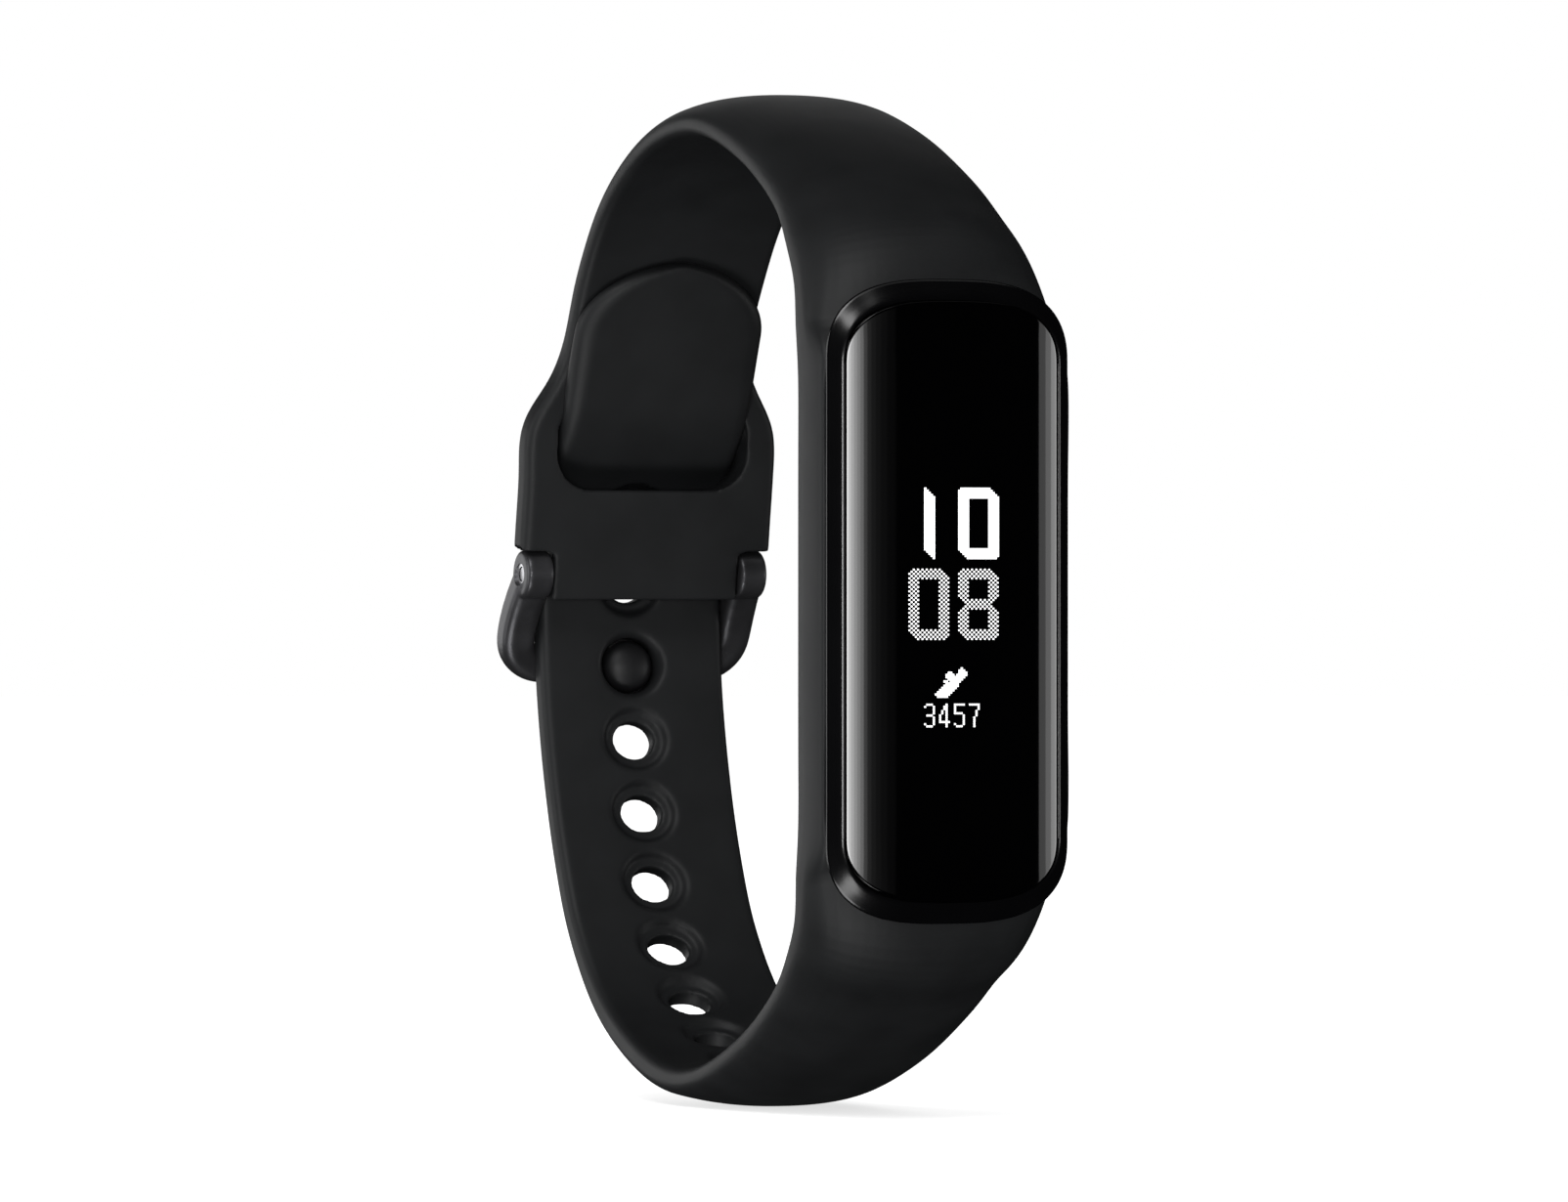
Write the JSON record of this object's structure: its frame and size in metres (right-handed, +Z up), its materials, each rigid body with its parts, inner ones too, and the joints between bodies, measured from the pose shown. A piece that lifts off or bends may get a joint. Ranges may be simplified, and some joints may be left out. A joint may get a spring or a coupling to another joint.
{
  "type": "fitness tracker band",
  "caption": "Slim fitness tracker with a curved tall display in a one-piece silicone wrist strap, closed by a hinged peg buckle and a row of tail holes.",
  "frame": {"origin": "Centre of the wrist opening, on the band's plane of symmetry.", "axes": "+X runs across the band along the forearm, -Y is where the display faces, +Y is the clasp side, +Z runs up along the tracker's long side towards the buckle end of the strap."},
  "size_m": [0.0178, 0.0585, 0.0649],
  "materials": {
    "strap_silicone": "matte",
    "buckle_metal": "satin",
    "peg_metal": "gloss",
    "spring_steel": "satin",
    "bezel_plastic": "gloss",
    "cover_glass": "polished",
    "panel_black": "gloss",
    "flex_amber": "satin",
    "frame_plastic": "matte",
    "board_green": "satin",
    "screw_steel": "satin",
    "shield_steel": "satin",
    "chip_black": "matte",
    "battery_foil": "satin",
    "tape_foam": "matte",
    "motor_steel": "satin",
    "rotor_weight": "satin",
    "photodiode_dark": "gloss",
    "led_clear": "gloss",
    "lens_dark": "gloss",
    "gold_contact": "polished",
    "seal_rubber": "matte",
    "antenna_copper": "satin",
    "rear_plastic": "satin"
  },
  "bodies": {
    "band": {"strap": "strap_silicone", "spring_bar_tube": "spring_steel", "spring_bar_spring": "spring_steel"},
    "buckle": {"buckle_frame": "buckle_metal", "buckle_peg": "peg_metal"},
    "tip_left": {"spring_bar_tip_left": "spring_steel"},
    "tip_right": {"spring_bar_tip_right": "spring_steel"},
    "tracker": {"front_bezel": "bezel_plastic", "cover_glass": "cover_glass", "oled_panel": "panel_black", "display_flex": "flex_amber", "mid_frame": "frame_plastic", "main_board": "board_green", "board_screws": "screw_steel", "board_shield": "shield_steel", "processor_chip": "chip_black", "radio_chip": "chip_black", "memory_chip": "chip_black", "accelerometer_chip": "chip_black", "battery_cell": "battery_foil", "battery_tape": "tape_foam", "motor_case": "motor_steel", "ppg_board": "board_green", "ppg_photodiode": "photodiode_dark", "ppg_leds": "led_clear", "ppg_lens": "lens_dark", "charge_pins": "gold_contact", "pogo_springs": "gold_contact", "case_seal": "seal_rubber", "antenna": "antenna_copper", "rear_cover": "rear_plastic"},
    "rotor": {"motor_rotor": "rotor_weight"}
  },
  "joints": [
    {"name": "tracker_release", "type": "slide", "parent": "band", "child": "tracker", "axis": [0, -1, 0], "range_m": [0, 0.014]},
    {"name": "buckle_hinge", "type": "hinge", "parent": "band", "child": "buckle", "pos_m": [0, 0.0228, 0.0018], "axis": [1, 0, 0], "range_deg": [0, 60]},
    {"name": "left_tip_press", "type": "slide", "parent": "band", "child": "tip_left", "axis": [1, 0, 0], "range_m": [0, 0.0018], "stiffness_N_per_m": 400, "springref_m": -0.001, "deforming": ["spring_bar_spring"]},
    {"name": "right_tip_press", "type": "slide", "parent": "band", "child": "tip_right", "axis": [-1, 0, 0], "range_m": [0, 0.0018], "stiffness_N_per_m": 400, "springref_m": -0.001, "deforming": ["spring_bar_spring"]},
    {"name": "rotor_spin", "type": "hinge", "parent": "tracker", "child": "rotor", "pos_m": [0, -0.0247, -0.0084], "axis": [1, 0, 0], "continuous": true}
  ]
}
